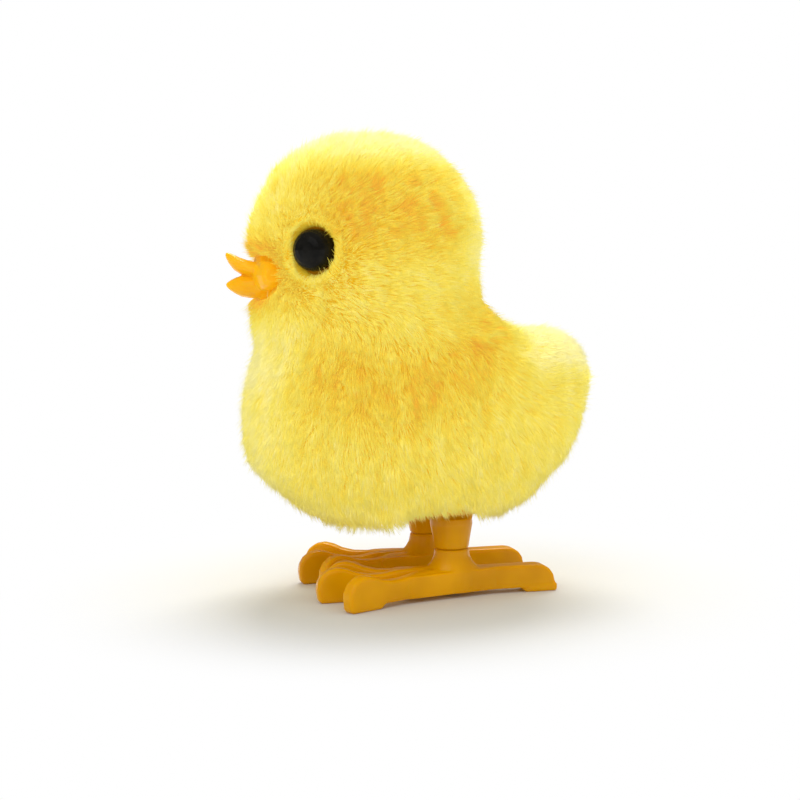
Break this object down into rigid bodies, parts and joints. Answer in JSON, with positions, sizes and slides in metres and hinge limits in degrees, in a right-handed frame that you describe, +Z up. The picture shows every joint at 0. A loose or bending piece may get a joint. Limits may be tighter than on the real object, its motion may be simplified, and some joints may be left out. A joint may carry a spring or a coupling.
{
  "type": "wind-up hopping chick",
  "caption": "Plush chick on moulded plastic feet with a spring motor inside: winding the knob on its right side makes both legs kick together so that it hops.",
  "frame": {"origin": "on the floor, under the middle of the toy's bounding box", "axes": "+Z up, the chick faces -Y, its left side is +X and the winding knob points to -X"},
  "size_m": [0.065, 0.0816, 0.1],
  "materials": {
    "plush": "long-pile plush",
    "orange_plastic": "gloss, slightly translucent",
    "black_plastic": "high gloss",
    "shell_plastic": "satin",
    "case_plastic": "satin",
    "gear_plastic": "satin",
    "knob_plastic": "gloss",
    "washer_plastic": "satin",
    "steel": "bright",
    "spring_steel": "blued"
  },
  "bodies": {
    "left_leg": {"leg_left": "orange_plastic", "foot_left": "orange_plastic", "foot_screw_left": "steel"},
    "torso": {"plush_cover": "plush", "body_shell_left": "shell_plastic", "body_shell_right": "shell_plastic", "shell_screw_head": "steel", "shell_screw_chest": "steel", "shell_screw_tail": "steel", "beak": "orange_plastic", "beak_washer": "washer_plastic", "eye_left": "black_plastic", "eye_right": "black_plastic", "eye_washer_left": "washer_plastic", "eye_washer_right": "washer_plastic", "motor_case_tub": "case_plastic", "motor_case_cover": "case_plastic", "case_screw_1": "steel", "case_screw_2": "steel", "case_screw_3": "steel", "base_plate": "shell_plastic", "base_screw_front": "steel", "base_screw_rear": "steel", "mainspring": "spring_steel", "leg_axle": "steel", "axle_clip_left": "steel", "axle_clip_right": "steel"},
    "right_leg": {"leg_right": "orange_plastic", "foot_right": "orange_plastic", "foot_screw_right": "steel"},
    "winder": {"winding_knob": "knob_plastic", "winding_arbor": "steel", "ratchet_wheel": "steel"},
    "great_wheel": {"great_wheel": "gear_plastic"},
    "click": {"click": "steel"},
    "second_wheel": {"second_wheel": "gear_plastic", "second_arbor": "steel"},
    "crank": {"crank_shaft": "steel", "crank_gear": "gear_plastic", "crank_left": "gear_plastic", "crank_right": "gear_plastic"},
    "governor": {"governor_wheel": "gear_plastic", "governor_arbor": "steel"},
    "verge": {"verge": "steel"}
  },
  "joints": [
    {"name": "body_on_left_leg", "type": "hinge", "parent": "left_leg", "child": "torso", "pos_m": [0.0035, 0.00525, 0.024], "axis": [1, 0, 0], "range_deg": [-10.2, 10.2]},
    {"name": "right_leg_on_body", "type": "hinge", "parent": "torso", "child": "right_leg", "pos_m": [0.0035, 0.00525, 0.024], "axis": [1, 0, 0], "range_deg": [-10.2, 10.2]},
    {"name": "winding_knob_turn", "type": "hinge", "parent": "torso", "child": "winder", "pos_m": [0.0035, 0.00875, 0.0435], "axis": [-1, 0, 0], "range_deg": [0, 1440]},
    {"name": "great_wheel_turn", "type": "hinge", "parent": "torso", "child": "great_wheel", "pos_m": [0.0035, 0.00875, 0.0435], "axis": [1, 0, 0], "continuous": true},
    {"name": "second_wheel_turn", "type": "hinge", "parent": "torso", "child": "second_wheel", "pos_m": [0.0035, -0.00212, 0.03976], "axis": [1, 0, 0], "continuous": true},
    {"name": "crank_turn", "type": "hinge", "parent": "torso", "child": "crank", "pos_m": [0.0035, 0.00525, 0.033], "axis": [1, 0, 0], "continuous": true},
    {"name": "governor_turn", "type": "hinge", "parent": "torso", "child": "governor", "pos_m": [0.0035, 0.01304, 0.0285], "axis": [1, 0, 0], "continuous": true},
    {"name": "verge_rock", "type": "hinge", "parent": "torso", "child": "verge", "pos_m": [0.0035, 0.01565, 0.0335], "axis": [1, 0, 0], "range_deg": [-5, 5]},
    {"name": "click_lift", "type": "hinge", "parent": "great_wheel", "child": "click", "pos_m": [0.0035, 0.00875, 0.0501], "axis": [-1, 0, 0], "range_deg": [0, 8]}
  ],
  "couplings": [
    {"joint": "right_leg_on_body", "follows": "body_on_left_leg", "ratio": -1},
    {"joint": "second_wheel_turn", "follows": "great_wheel_turn", "ratio": -3.6},
    {"joint": "crank_turn", "follows": "great_wheel_turn", "ratio": 10.8},
    {"joint": "governor_turn", "follows": "great_wheel_turn", "ratio": -28.08}
  ]
}
